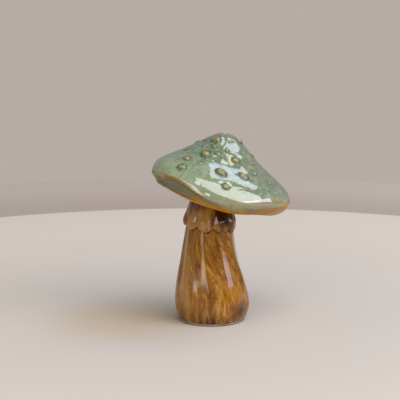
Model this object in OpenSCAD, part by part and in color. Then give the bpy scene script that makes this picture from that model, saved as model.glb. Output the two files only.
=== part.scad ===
// Ceramic mushroom ornament: a fluted stem casting on a bare clay base disc, and a leaning
// two-part cap with a waved lip, clay pellets on its crown and a scalloped skirt at the neck.
// Millimetres, +Z up, with the origin on the table at the middle of the foot.
// The side seen in front is -Y, and angles run from +X towards +Y.

/* [Base disc] */
// Distance that the bare clay foot is set in under the glazed edge
foot_set_in = 0.6; // [0.2:0.1:2]
// Height of bare clay under the stem
foot_h = 1.6; // [1:0.1:4]
// Height of the step that enters the stem
step_h = 3; // [2:0.1:6]
// Radius of the vent hole
vent_r = 5; // [3:0.1:8]
// Radius of the recess inside the foot ring
recess_r = 15; // [10:0.1:17]
// Depth of the recess inside the foot ring
recess_depth = 0.8; // [0.3:0.1:1.4]
// Size of the small bevel on the foot's edge
foot_bevel = 0.5; // [0.2:0.1:0.9]

/* [Stem] */
// Height of the neck's middle above the table
stem_h = 87.7; // [78:0.1:110]
// Radius of the glazed edge above the foot
stem_foot_r = 23; // [22:0.1:26]
// Radius of the belly
belly_r = 25.7; // [23:0.1:30]
// Height of the belly
belly_z = 13.5; // [10:0.1:20]
// Radius of the waist
waist_r = 16.9; // [15:0.1:21]
// Height of the waist
waist_z = 58; // [50:0.1:66]
// Radius of the neck under the cap
neck_r = 12; // [11:0.1:15]
// Sideways bow of the stem
stem_bow = -2; // [-5:0.1:5]
// Wall of the castings
wall = 3.8; // [2.5:0.1:5]
// Number of flutes on the stem
flutes = 9; // [5:1:13]
// Depth of the flutes
flute_depth = 0.45; // [0:0.05:1]
// Turn of the flutes from foot to neck, in degrees
flute_turn = 40; // [0:1:90]

/* [Neck joint] */
// Radius of the spigot on the stem
spigot_r = 9; // [7:0.1:10]
// Length of the spigot inside the cap, past the underside
spigot_past = 2.4; // [0.5:0.1:6]
// Thickness of the ring of slip
slip_t = 0.8; // [0.4:0.1:2]
// Clearance of every luted fit
luting_gap = 0.15; // [0.1:0.01:0.3]

/* [Cap] */
// Radius of the rim
cap_r = 48.1; // [40:0.1:60]
// Height of the crown above the rim
crown_h = 36.4; // [28:0.1:50]
// Height of the lip under the rim
lip_h = 9; // [6.5:0.1:11]
// Distance that the lip's lower edge is tucked in
lip_tuck = 6.5; // [4:0.1:10]
// Lean of the cap to the right, in degrees
lean_side = 14; // [0:0.5:18]
// Lean of the cap to the front, in degrees
lean_front = 1.5; // [0:0.5:8]
// Distance from the neck's middle to the cap's middle
cap_shift = 4.7; // [0:0.1:8]
// Distance that the crown leans back over the neck
crown_shift = 4.2; // [0:0.1:6]
// Height of the waves of the rim
rim_wave = 1.1; // [0:0.1:3]
// Lift of the front left of the rim
rim_lift = 2.7; // [0:0.1:5]
// Depth of the fold under the front left of the rim
fold_depth = 1.4; // [0:0.1:2]
// Amount that the rim is out of round
rim_swell = 0.8; // [0:0.1:2]
// Height of the hollow under the cap
dish_h = 3; // [1:0.1:5]
// Radius of the flat middle of the underside
dish_r = 22; // [19:0.1:26]

/* [Skirt] */
// Number of lobes
lobes = 9; // [6:1:14]
// Height of the notches between lobes above the table
notch_z = 67.6; // [64:0.1:72]
// Drop of the lobes below the notches
lobe_drop = 4; // [2:0.1:8]
// Thickness of the lobes
skirt_t = 1.6; // [1:0.1:3.5]
// Drop of the skirt's right side below its middle
skirt_slant = 1.2; // [0:0.1:3]
// Gap between the skirt's top edge and the cap
skirt_gap = 1.2; // [0.6:0.1:4]

/* [Pellets] */
// Length of the largest pellet
pellet_l = 6.8; // [5:0.1:8]
// Width of a pellet as a share of its length
pellet_round = 0.82; // [0.6:0.01:1]
// Height of the largest pellet
pellet_h = 1.7; // [0.8:0.1:3]
// Number of pellets round the back of the crown
back_pellets = 16; // [6:1:18]

/* [Fineness] */
// Points round the cap
cap_steps = 72; // [48:6:96]
// Points round the stem
stem_steps = 72; // [48:6:84]
// Points round one lobe
lobe_steps = 10; // [6:1:12]

/* [Hidden] */
$fn = 64;
cut = 1; // how far a cutting solid runs past the face that it cuts
glaze_green = [0.50, 0.60, 0.48];
glaze_amber = [0.62, 0.42, 0.20];
glaze_brown = [0.55, 0.34, 0.12];
glaze_gold = [0.62, 0.50, 0.24];
bare_clay = [0.86, 0.80, 0.70];

// Front pellets: [angle round the crown, share of the way to the rim, size, turn]
front_pellets = [
    [267, 0.555, 1.00, 30],
    [294, 0.543, 0.95, 40],
    [272, 0.727, 0.72, 10],
    [289, 0.375, 0.74, 15],
    [237, 0.395, 0.86, 0],
    [231, 0.185, 0.90, 10],
    [240, 0.267, 0.54, 80],
    [256, 0.342, 0.50, 0],
    [342, 0.135, 0.72, 30],
    [0, 0.315, 0.56, 70],
    [316, 0.487, 0.56, 50],
    [329, 0.604, 0.52, 60],
    [221, 0.542, 0.62, -45],
    [227, 0.690, 0.78, -20],
    [197, 0.450, 0.58, 80],
    [191, 0.240, 0.56, 85],
    [313, 0.360, 0.34, 0],
    [321, 0.385, 0.32, 40],
    [256, 0.420, 0.36, 0],
    [273, 0.292, 0.34, 60],
    [241, 0.481, 0.34, 20]
];
pellet_count = len(front_pellets) + back_pellets;
function pellet_name(i) = str("pellet_", i < 9 ? "0" : "", i + 1);
PELLETS = [for (i = [0:pellet_count - 1]) pellet_name(i)];

// Smooth curves and skins

// Point of a smooth curve through pts at x, counted in points; the first and last only steer it
function blend4(a, b, c, d, u) =
    0.5 * (2 * b + (c - a) * u + (2 * a - 5 * b + 4 * c - d) * u * u + (3 * b - a - 3 * c + d) * u * u * u);
function curve(pts, x) =
    let (last = len(pts) - 4, i = max(0, min(floor(x), last)))
    blend4(pts[i], pts[i + 1], pts[i + 2], pts[i + 3], x - i);
// Smooth step from 0 to 1
function ease(u) = let (v = max(0, min(1, u))) v * v * (3 - 2 * v);
// Smooth hump, 1 at the middle and 0 from half a width away
function hump(a, middle, width) =
    let (d = abs(((a - middle + 540) % 360) - 180)) ease(1 - 2 * d / width);
function angles(steps) = [for (i = [0:steps - 1]) 360 * i / steps];

// Four-sided faces between rings, cut in two
function band(n, i, k) =
    [for (j = [0:n - 1])
        let (a = i * n + j, b = i * n + (j + 1) % n, c = k * n + j, d = k * n + (j + 1) % n)
        each [[a, b, c], [b, d, c]]];

// Solid skinned over rings of points from an upper outer point to a last one
module skin(rings, start, finish) {
    n = len(rings[0]);
    m = len(rings);
    sides = [for (i = [0:m - 2]) each band(n, i, i + 1)];
    first = [for (j = [0:n - 1]) [m * n, (j + 1) % n, j]];
    last = [for (j = [0:n - 1]) [m * n + 1, (m - 1) * n + j, (m - 1) * n + (j + 1) % n]];
    points = concat([for (r = rings) each r], [start, finish]);
    polyhedron(points, concat(sides, first, last), convexity = 8);
}

// Ring-shaped solid, skinned over rings of points that close on themselves
module ring_skin(rings) {
    n = len(rings[0]);
    m = len(rings);
    points = [for (r = rings) each r];
    polyhedron(points, [for (i = [0:m - 1]) each band(n, i, (i + 1) % m)], convexity = 8);
}

// Stem

foot_r = stem_foot_r - foot_set_in;
open_r = stem_foot_r - wall; // radius of the stem's open end
step_r = open_r - luting_gap;
spigot_h = slip_t + wall + spigot_past;
bore_depth = 2 * neck_r; // depth under the neck that the spigot's bore reaches, into the hollow
belly_drop = belly_r - waist_r;
belly_rise = waist_z - belly_z;
foot_rise = belly_z - foot_h;
stem_line = [
    [stem_foot_r - 0.55 * (belly_r - stem_foot_r), foot_h - 0.125 * foot_rise],
    [stem_foot_r, foot_h],
    [stem_foot_r + 0.62 * (belly_r - stem_foot_r), foot_h + 0.3 * foot_rise],
    [belly_r, belly_z],
    [belly_r - 0.27 * belly_drop, belly_z + 0.33 * belly_rise],
    [belly_r - 0.70 * belly_drop, belly_z + 0.66 * belly_rise],
    [waist_r, waist_z],
    [neck_r + 0.52 * (waist_r - neck_r), waist_z + 0.55 * (stem_h - waist_z)],
    [neck_r, stem_h],
    [neck_r - 0.2 * (waist_r - neck_r), stem_h + 0.34 * (stem_h - waist_z)]
];
stem_spans = len(stem_line) - 3;
function stem_x(z) = stem_bow * pow(sin(180 * z / (1.15 * stem_h)), 2);
neck_middle = [stem_x(stem_h), 0, stem_h];

// Cap frame: its middle lies in the plane of the rim
joint_z = dish_h - lip_h;
function lean(p) =
    let (y1 = p.y * cos(lean_front) - p.z * sin(lean_front),
         z1 = p.y * sin(lean_front) + p.z * cos(lean_front))
    [p.x * cos(lean_side) + z1 * sin(lean_side), y1, z1 * cos(lean_side) - p.x * sin(lean_side)];
cap_middle = neck_middle + lean([cap_shift, 0, slip_t - joint_z]);
function in_cap(p) = cap_middle + lean(p);
module at_cap() {
    translate(cap_middle) rotate([lean_front, lean_side, 0]) children();
}
module at_neck() {
    at_cap() translate([-cap_shift, 0, joint_z - slip_t]) children();
}

// Height of the slanting neck plane over a point of the table
tilt = lean([0, 0, 1]);
function neck_plane(x, y) =
    stem_h - ((x - neck_middle.x) * tilt.x + (y - neck_middle.y) * tilt.y) / tilt.z;

// Point of the stem at angle a, x spans up its outline, moved out by grow
function stem_point(a, x, grow = 0) =
    let (p = curve(stem_line, x),
         turn = flute_turn * p[1] / stem_h,
         fade = ease(p[1] / belly_z) * ease((stem_h - p[1]) / (stem_h - notch_z)),
         flute = flute_depth * fade * (cos(flutes * (a + turn)) + 0.6 * cos((flutes - 4) * (a - turn))),
         r = p[0] + flute + grow,
         px = stem_x(p[1]) + r * cos(a),
         py = r * sin(a),
         slant = ease((p[1] - waist_z) / (stem_h - waist_z)))
    [px, py, p[1] + slant * (neck_plane(px, py) - stem_h)];

module stem_skin(grow, from, to, rows, steps) {
    up = [for (k = [rows:-1:0]) from + (to - from) * k / rows];
    rings = [for (x = up) [for (a = angles(steps)) stem_point(a, x, grow)]];
    skin(rings, middle_of(rings[0]), middle_of(rings[rows]));
}
function middle_of(ring) = [for (p = ring) 1] * ring / len(ring);

module stem() {
    color(glaze_brown) difference() {
        union() {
            stem_skin(0, 0, stem_spans, 16, stem_steps);
            at_neck() translate([0, 0, -cut]) cylinder(r = spigot_r, h = spigot_h + cut);
        }
        stem_skin(-wall, 1, stem_spans - 0.5, 8, 36);
        translate([0, 0, foot_h - cut]) cylinder(r = open_r, h = cut + step_h + luting_gap + wall);
        at_neck() translate([0, 0, -bore_depth])
            cylinder(r = spigot_r - wall, h = bore_depth + spigot_h + cut);
    }
}

module base_disc() {
    color(bare_clay) rotate_extrude() polygon([
        [vent_r, recess_depth],
        [recess_r - recess_depth, recess_depth],
        [recess_r, 0],
        [foot_r - foot_bevel, 0],
        [foot_r, foot_bevel],
        [foot_r, foot_h],
        [step_r, foot_h],
        [step_r, foot_h + step_h],
        [vent_r, foot_h + step_h]
    ]);
}

module slip_ring() {
    color(bare_clay) at_neck() difference() {
        cylinder(r = neck_r, h = slip_t);
        translate([0, 0, -cut]) cylinder(r = spigot_r + luting_gap, h = slip_t + 2 * cut);
    }
}

// Skirt

skirt_phase = 258; // angle of the middle of the front lobe
neck_span = stem_h - stem_line[7][1]; // height of the outline's last span
skirt_top = stem_spans - skirt_gap / neck_span;
function lobe_at(a) = abs(cos(lobes * (a - skirt_phase) / 2));
function lobe_size(a) = 1 + 0.12 * cos(3 * a + 20);
// Height of the skirt's lower edge
function skirt_edge(a) = notch_z - lobe_drop * pow(lobe_at(a), 0.6) * lobe_size(a) - skirt_slant * cos(a);
// Spans up the stem's outline at height z, above the waist
function span_at(z) =
    z > stem_line[7][1]
        ? 6 + (z - stem_line[7][1]) / neck_span
        : 5 + (z - waist_z) / (stem_line[7][1] - waist_z);
// Thickness at share v of the way down, 0 at the top edge
function skirt_thick(a, v) =
    skirt_t * (0.35 + 0.65 * ease(v * 1.2)) * (0.62 + 0.38 * pow(lobe_at(a), 0.7));
function skirt_span(a, v) = skirt_top + (span_at(skirt_edge(a)) - skirt_top) * v;

module skirt() {
    steps = lobes * lobe_steps;
    down = [0, 0.25, 0.5, 0.7, 0.86, 0.96, 1];
    outer = [for (v = down)
        [for (a = angles(steps))
            stem_point(a, skirt_span(a, v), luting_gap + skirt_thick(a, v) * (v > 0.98 ? 0.55 : 1))]];
    inner = [for (v = [1, 0.66, 0.33, 0])
        [for (a = angles(steps)) stem_point(a, skirt_span(a, v), luting_gap)]];
    color(glaze_brown) ring_skin(concat(outer, inner));
}

// Cap

// Places on the cap's outline, in points from the crown
rim_x = 8;
seam_x = 10;
lip_x = 12;
cap_line = [
    [-0.17 * cap_r, 0.94 * crown_h],
    [0, crown_h],
    [0.17 * cap_r, 0.94 * crown_h],
    [0.32 * cap_r, 0.785 * crown_h],
    [0.47 * cap_r, 0.625 * crown_h],
    [0.64 * cap_r, 0.473 * crown_h],
    [0.80 * cap_r, 0.338 * crown_h],
    [0.92 * cap_r, 0.216 * crown_h],
    [0.985 * cap_r, 0.09 * crown_h],
    [cap_r, -0.05 * lip_h],
    [cap_r - 0.2 * lip_tuck, -0.42 * lip_h],
    [cap_r - 0.52 * lip_tuck, -0.75 * lip_h],
    [cap_r - 0.95 * lip_tuck, -0.97 * lip_h],
    [cap_r - 1.8 * lip_tuck, -0.98 * lip_h]
];
function outline_swell(a) = rim_swell * (cos(2 * (a - 25)) + 0.625 * cos(5 * (a + 12)));
function wave(a) = rim_wave * (cos(3 * (a - 202)) + 0.25 * cos(7 * a)) + rim_lift * hump(a, 216, 150);
// Outward push of the fold, which stands out along its arched ridge and draws in below it
fold_middle = 229; // angle of the fold's middle
fold_span = 150; // angles that it runs over
ridge_span = 84; // angles that the arch of its ridge runs over
function ridge_x(a) = 8.85 - 1.45 * hump(a, fold_middle, ridge_span);
function fold(a, x) =
    let (y = 40 * (x - ridge_x(a)))
    fold_depth * hump(a, fold_middle - 5, fold_span) * (hump(y, 0, 60) - 1.6 * hump(y, 56, 100));
// Point of the cap's outside at angle a, x points down its outline, in the cap's own frame
function cap_local(a, x) =
    let (p = curve(cap_line, x),
         share = p[0] / cap_r,
         r = p[0] + share * share * outline_swell(a) + fold(a, x))
    [r * cos(a) - crown_shift * (1 - share * share), r * sin(a), p[1] + pow(share, 3) * wave(a)];
function cap_point(a, x) = in_cap(cap_local(a, x));
function unit(v) = v / norm(v);
function cap_normal(a, x) =
    unit(cross(cap_point(a, x + 0.02) - cap_point(a, x - 0.02), cap_point(a + 0.5, x) - cap_point(a - 0.5, x)));

// The joint between shell and underside runs in from the seam by one wall
function seam_ring(inset, drop = 0) =
    [for (a = angles(cap_steps))
        let (p = cap_local(a, seam_x)) in_cap([p.x - inset * cos(a), p.y - inset * sin(a), p.z - drop])];

// Rows of the shell bend with the ridge, so that one of them runs along it
ridge_row = 8.4;
bend_from = 6;
function row_x(a, x) =
    x + (ridge_x(a) - ridge_row) * ease(x < ridge_row
        ? (x - bend_from) / (ridge_row - bend_from)
        : (seam_x - x) / (seam_x - ridge_row));

module cap_shell() {
    near_ridge = [7.35, 7.65, 7.9, 8.15, ridge_row, 8.65, 8.9, 9.25, 9.6];
    out = concat([0.25, 0.5, 0.75], [for (x = [1:0.5:7]) x], near_ridge, [seam_x]);
    in = [8.6, 7.6, 6.6, 5.5, 4.5, 3.5, 2.5, 1.5, 0.7];
    outer = [for (x = out) [for (a = angles(cap_steps)) cap_point(a, row_x(a, x))]];
    inner = [for (x = in) [for (a = angles(cap_steps)) cap_point(a, x) - wall * cap_normal(a, x)]];
    top = cap_point(0, 0);
    color(glaze_green) skin(concat(outer, [seam_ring(wall)], inner), top, top - wall * tilt);
}

// Underside of the cap at share u of the way in from the lip
function dish_ring(u) =
    [for (a = angles(cap_steps))
        let (edge = cap_local(a, lip_x),
             far = norm([edge.x, edge.y]) * (1 - u) + dish_r * u,
             z = edge.z * (1 - ease(u)) + joint_z * ease(u))
        in_cap([far * cos(a), far * sin(a), z])];

module cap_underside() {
    seam = [seam_ring(wall, luting_gap), seam_ring(0, luting_gap)];
    edge = [for (x = [seam_x + 0.5:0.5:lip_x]) [for (a = angles(cap_steps)) cap_point(a, x)]];
    below = [for (u = [0.15, 0.35, 0.6, 0.8, 1]) dish_ring(u)];
    color(glaze_amber) difference() {
        skin(concat(seam, edge, below), in_cap([0, 0, joint_z + wall]), in_cap([0, 0, joint_z]));
        at_neck() translate([0, 0, -cut]) cylinder(r = spigot_r + luting_gap, h = spigot_h + 2 * cut);
    }
}

// Pellets

// Pellets at the back go down the crown in even steps, each a fixed turn on from the last
back_start = 28; // angle of the first one
back_turn = 51; // turn from one to the next
back_span = 132; // angles that they share
back_top = 0.15; // share of the way to the rim where they start
back_reach = 0.58; // share of that way that they cover
least_size = 0.34;
function back_pellet(i) = [
    back_start + (i * back_turn) % back_span,
    back_top + back_reach * (i + 0.5) / back_pellets,
    least_size + 0.62 * abs(sin(i * 77 + 40)),
    (i * 67) % 90
];
function pellet_at(i) = i < len(front_pellets) ? front_pellets[i] : back_pellet(i - len(front_pellets));

// Point of the cap off by u and v millimetres from (a, x), raised by up
function near_pellet(a, x, u, v, up) =
    let (reach = norm(cap_local(a, x) - cap_local(a, x - 0.5)) * 2,
         far = norm([cap_local(a, x).x + crown_shift, cap_local(a, x).y]),
         b = a + u / max(far, 1) * 180 / PI,
         y = x + v / reach)
    cap_point(b, y) + up * cap_normal(b, y);

module pellet(i) {
    p = pellet_at(i);
    x = p[1] * rim_x;
    long = pellet_l * p[2] / 2;
    wide = long * pellet_round;
    function ring(r, up) =
        [for (t = angles(12))
            let (u = long * r * cos(t), v = wide * r * sin(t))
            near_pellet(p[0], x, u * cos(p[3]) - v * sin(p[3]), u * sin(p[3]) + v * cos(p[3]), up)];
    dome = [for (e = [62, 38, 14]) ring(cos(e), luting_gap + pellet_h * p[2] * sin(e))];
    foot = [ring(1, luting_gap), ring(0.5, luting_gap)];
    color(glaze_gold) mirror_skin(concat(dome, foot),
        near_pellet(p[0], x, 0, 0, luting_gap + pellet_h * p[2]), near_pellet(p[0], x, 0, 0, luting_gap));
}

// As skin, for rings that run the other way round
module mirror_skin(rings, start, finish) {
    skin([for (r = rings) [for (j = [len(r) - 1:-1:0]) r[j]]], start, finish);
}

base_disc();
stem();
skirt();
slip_ring();
cap_underside();
cap_shell();
for (i = [0:pellet_count - 1]) pellet(i);
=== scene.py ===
import math
import bmesh
import bpy
import numpy as np
from mathutils import Matrix, Vector, noise
from mathutils.bvhtree import BVHTree


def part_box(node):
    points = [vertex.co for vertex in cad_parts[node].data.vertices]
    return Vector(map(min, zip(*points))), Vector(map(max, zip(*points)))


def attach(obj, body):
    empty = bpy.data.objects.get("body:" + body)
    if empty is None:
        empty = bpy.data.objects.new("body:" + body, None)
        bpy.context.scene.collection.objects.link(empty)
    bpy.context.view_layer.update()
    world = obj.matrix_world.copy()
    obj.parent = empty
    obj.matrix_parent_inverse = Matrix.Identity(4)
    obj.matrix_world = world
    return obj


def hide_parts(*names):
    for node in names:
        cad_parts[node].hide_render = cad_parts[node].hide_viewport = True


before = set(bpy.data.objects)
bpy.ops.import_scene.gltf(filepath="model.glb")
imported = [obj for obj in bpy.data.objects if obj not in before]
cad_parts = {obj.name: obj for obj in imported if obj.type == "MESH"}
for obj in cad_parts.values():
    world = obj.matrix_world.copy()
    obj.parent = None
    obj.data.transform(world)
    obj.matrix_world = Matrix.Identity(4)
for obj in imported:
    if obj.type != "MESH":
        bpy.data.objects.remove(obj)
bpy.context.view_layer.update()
mm = 0.001
rootBody = "root"

# Where the leaning cap stands on the neck: the middle of its rim in millimetres, and degrees
capPlace = {"middle": (5.9, -0.2, 93.2), "leanSide": 14.0, "leanFront": 1.5}
capTurn = (
    Matrix.Rotation(math.radians(capPlace["leanSide"]), 3, "Y")
    @ Matrix.Rotation(math.radians(capPlace["leanFront"]), 3, "X")
)


def easeStep(low, high, value):
    share = np.clip((value - low) / (high - low), 0, 1)
    return share * share * (3 - 2 * share)


def hump(value, middle, width):
    return np.exp(-(((value - middle) / width) ** 2))


def around(line, bearings):
    # a line's value at each bearing, straight from point to point round the circle
    keys = sorted(line)
    return np.interp(bearings, keys, [line[k] for k in keys], period=360)


def between(bearings, start, end, soft):
    # 1 from one bearing to the other and 0 outside
    return easeStep(start - soft, start, bearings) * (1 - easeStep(end, end + soft, bearings))


# Mesh helpers

def asMesh(work, name):
    mesh = bpy.data.meshes.new(name)
    work.to_mesh(mesh)
    work.free()
    return mesh


def addObject(name, data):
    made = bpy.data.objects.new(name, data)
    bpy.context.scene.collection.objects.link(made)
    return made


def nodeCage(nodeName, sharpAngle=40):
    # the node's loose triangles merged and paired into quads, with its sharp edges creased
    cage = bmesh.new()
    cage.from_mesh(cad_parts[nodeName].data)
    bmesh.ops.remove_doubles(cage, verts=cage.verts, dist=1e-6)
    bmesh.ops.join_triangles(
        cage,
        faces=cage.faces,
        angle_face_threshold=math.radians(50),
        angle_shape_threshold=math.radians(60),
        topology_influence=2.0,
    )
    crease = cage.edges.layers.float.new("crease_edge")
    for edge in cage.edges:
        if edge.calc_face_angle(0.0) > math.radians(sharpAngle):
            edge[crease] = 1.0
    return cage


def smoothMesh(cage, name, levels):
    # the cage under a Subdivision Surface, read back as plain vertices for sculpting
    rough = asMesh(cage, name + "Cage")
    holder = addObject(name + "Cage", rough)
    finer = holder.modifiers.new("Finer", "SUBSURF")
    finer.levels = levels
    finer.render_levels = levels
    finer.boundary_smooth = "PRESERVE_CORNERS"
    graph = bpy.context.evaluated_depsgraph_get()
    mesh = bpy.data.meshes.new_from_object(holder.evaluated_get(graph))
    bpy.data.objects.remove(holder)
    bpy.data.meshes.remove(rough)
    mesh.name = name
    return mesh


def finishPiece(mesh, name, nodes, material, sharpAngle=42):
    mesh.materials.clear()
    mesh.materials.append(material)
    for face in mesh.polygons:
        face.use_smooth = True
    mesh.set_sharp_from_angle(angle=math.radians(sharpAngle))
    piece = addObject(name, mesh)
    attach(piece, rootBody)
    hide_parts(*nodes)


def readPoints(mesh):
    points = np.empty(len(mesh.vertices) * 3)
    mesh.vertices.foreach_get("co", points)
    return points.reshape(-1, 3)


def readNormals(mesh):
    normals = np.empty(len(mesh.vertices) * 3)
    mesh.vertex_normals.foreach_get("vector", normals)
    return normals.reshape(-1, 3)


def writePoints(mesh, points):
    mesh.vertices.foreach_set("co", points.ravel())
    mesh.update()


def writeMask(mesh, name, values):
    layer = mesh.attributes.new(name=name, type="FLOAT", domain="POINT")
    layer.data.foreach_set("value", np.asarray(values, np.float32))


def writeFlow(mesh, name, vectors):
    layer = mesh.attributes.new(name=name, type="FLOAT_VECTOR", domain="POINT")
    layer.data.foreach_set("vector", np.asarray(vectors, np.float32).ravel())


def edgePairs(mesh):
    pairs = np.empty(len(mesh.edges) * 2, np.int64)
    mesh.edges.foreach_get("vertices", pairs)
    return pairs.reshape(-1, 2)


def spread(values, pairs, rounds):
    # evens a mask out over neighbouring vertices
    count = np.bincount(pairs.ravel(), minlength=len(values)).clip(1)
    for _ in range(rounds):
        total = np.zeros(len(values))
        np.add.at(total, pairs[:, 0], values[pairs[:, 1]])
        np.add.at(total, pairs[:, 1], values[pairs[:, 0]])
        values = 0.5 * values + 0.5 * total / count
    return values


def bulgeMask(mesh, rounds):
    # convexity per millimetre: above 0 on edges where glaze runs thin, below 0 where it pools
    points, normals, pairs = readPoints(mesh), readNormals(mesh), edgePairs(mesh)
    gap = points[pairs[:, 0]] - points[pairs[:, 1]]
    length = np.maximum((gap * gap).sum(1), 1e-12)
    total = np.zeros(len(points))
    np.add.at(total, pairs[:, 0], (gap * normals[pairs[:, 0]]).sum(1) / length)
    np.add.at(total, pairs[:, 1], (-gap * normals[pairs[:, 1]]).sum(1) / length)
    count = np.bincount(pairs.ravel(), minlength=len(points)).clip(1)
    return spread(2 * mm * total / count, pairs, rounds)


# Material helpers

def put(tree, kind, settings=None, inputs=None):
    # a shader node with its settings, and each input set to a value or linked to a socket
    made = tree.nodes.new(kind)
    for key, value in (settings or {}).items():
        setattr(made, key, value)
    for key, value in (inputs or {}).items():
        if isinstance(value, bpy.types.NodeSocket):
            tree.links.new(value, made.inputs[key])
        else:
            made.inputs[key].default_value = value
    return made


def sums(tree, operation, first, second=0.0, third=0.0, clamp=False):
    settings = {"operation": operation, "use_clamp": clamp}
    return put(tree, "ShaderNodeMath", settings, {0: first, 1: second, 2: third}).outputs[0]


def times(tree, first, second):
    return sums(tree, "MULTIPLY", first, second)


def blendColour(tree, share, first, second):
    # a Mix node's colours are its inputs 6 and 7, and their blend is its output 2
    return put(tree, "ShaderNodeMix", {"data_type": "RGBA"}, {0: share, 6: first, 7: second}).outputs[2]


def band(tree, value, low, high):
    # 0 before low and 1 past high, smooth between them
    inputs = {"Value": value, "From Min": low, "From Max": high}
    return put(tree, "ShaderNodeMapRange", {"interpolation_type": "SMOOTHSTEP"}, inputs).outputs[0]


def layOver(tree, colour, tone, value, low, high, most):
    # the tone over the colour where the value is past high, by that share at most
    return blendColour(tree, times(tree, band(tree, value, low, high), most), colour, tone)


def cloud(tree, place, scale, detail=2.0, rough=0.5, twist=0.0):
    inputs = {"Vector": place, "Scale": scale, "Detail": detail, "Roughness": rough, "Distortion": twist}
    return put(tree, "ShaderNodeTexNoise", None, inputs).outputs["Fac"]


def newGroup(name, inputs, outputs):
    tree = bpy.data.node_groups.new(name, "ShaderNodeTree")
    for label, kind in inputs:
        tree.interface.new_socket(label, in_out="INPUT", socket_type=kind)
    for label, kind in outputs:
        tree.interface.new_socket(label, in_out="OUTPUT", socket_type=kind)
    return tree, tree.nodes.new("NodeGroupInput"), tree.nodes.new("NodeGroupOutput")


def newMaterial(name):
    material = bpy.data.materials.new(name)
    material.use_nodes = True
    tree = material.node_tree
    tree.nodes.clear()
    shader = tree.nodes.new("ShaderNodeBsdfPrincipled")
    output = tree.nodes.new("ShaderNodeOutputMaterial")
    tree.links.new(shader.outputs[0], output.inputs[0])
    return material, tree, shader


def millimetres(tree):
    place = put(tree, "ShaderNodeTexCoord").outputs["Object"]
    return put(tree, "ShaderNodeMapping", None, {"Vector": place, "Scale": (1000, 1000, 1000)}).outputs[0]


def mask(tree, name):
    return put(tree, "ShaderNodeAttribute", {"attribute_name": name}).outputs["Fac"]


def flow(tree, name):
    return put(tree, "ShaderNodeAttribute", {"attribute_name": name}).outputs["Vector"]


# Shared surface effects

def makeGlazeSkin():
    # fine pits and the slow roll of a fired glaze, as a height in millimetres
    look = {"roll": 0.22, "grain": 1.6, "pits": 0.55, "pitEdge": (0.13, 0.02), "grainShare": 0.35}
    tree, start, end = newGroup(
        "glazeSkin",
        [("Place", "NodeSocketVector"), ("Roll", "NodeSocketFloat"), ("Pits", "NodeSocketFloat")],
        [("Height", "NodeSocketFloat")],
    )
    place = start.outputs["Place"]
    depth = start.outputs["Pits"]
    roll = cloud(tree, place, look["roll"], 2.0, 0.45)
    grain = cloud(tree, place, look["grain"], 2.0, 0.5)
    cells = put(tree, "ShaderNodeTexVoronoi", None, {"Vector": place, "Scale": look["pits"]})
    hole = band(tree, cells.outputs["Distance"], *look["pitEdge"])
    height = times(tree, roll, start.outputs["Roll"])
    height = sums(tree, "MULTIPLY_ADD", grain, times(tree, depth, look["grainShare"]), height)
    height = sums(tree, "SUBTRACT", height, times(tree, hole, depth))
    tree.links.new(height, end.inputs["Height"])
    return tree


glazeSkin = makeGlazeSkin()
# The masks that the green glaze reads, each from the attribute of the same name in small letters
greenMasks = ("Thin", "Pool", "Crown", "Lip", "Ridge", "Hollow")


def skinOf(tree, place, roll, pits):
    inputs = {"Place": place, "Roll": roll, "Pits": pits}
    return put(tree, "ShaderNodeGroup", {"node_tree": glazeSkin}, inputs).outputs["Height"]


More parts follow.
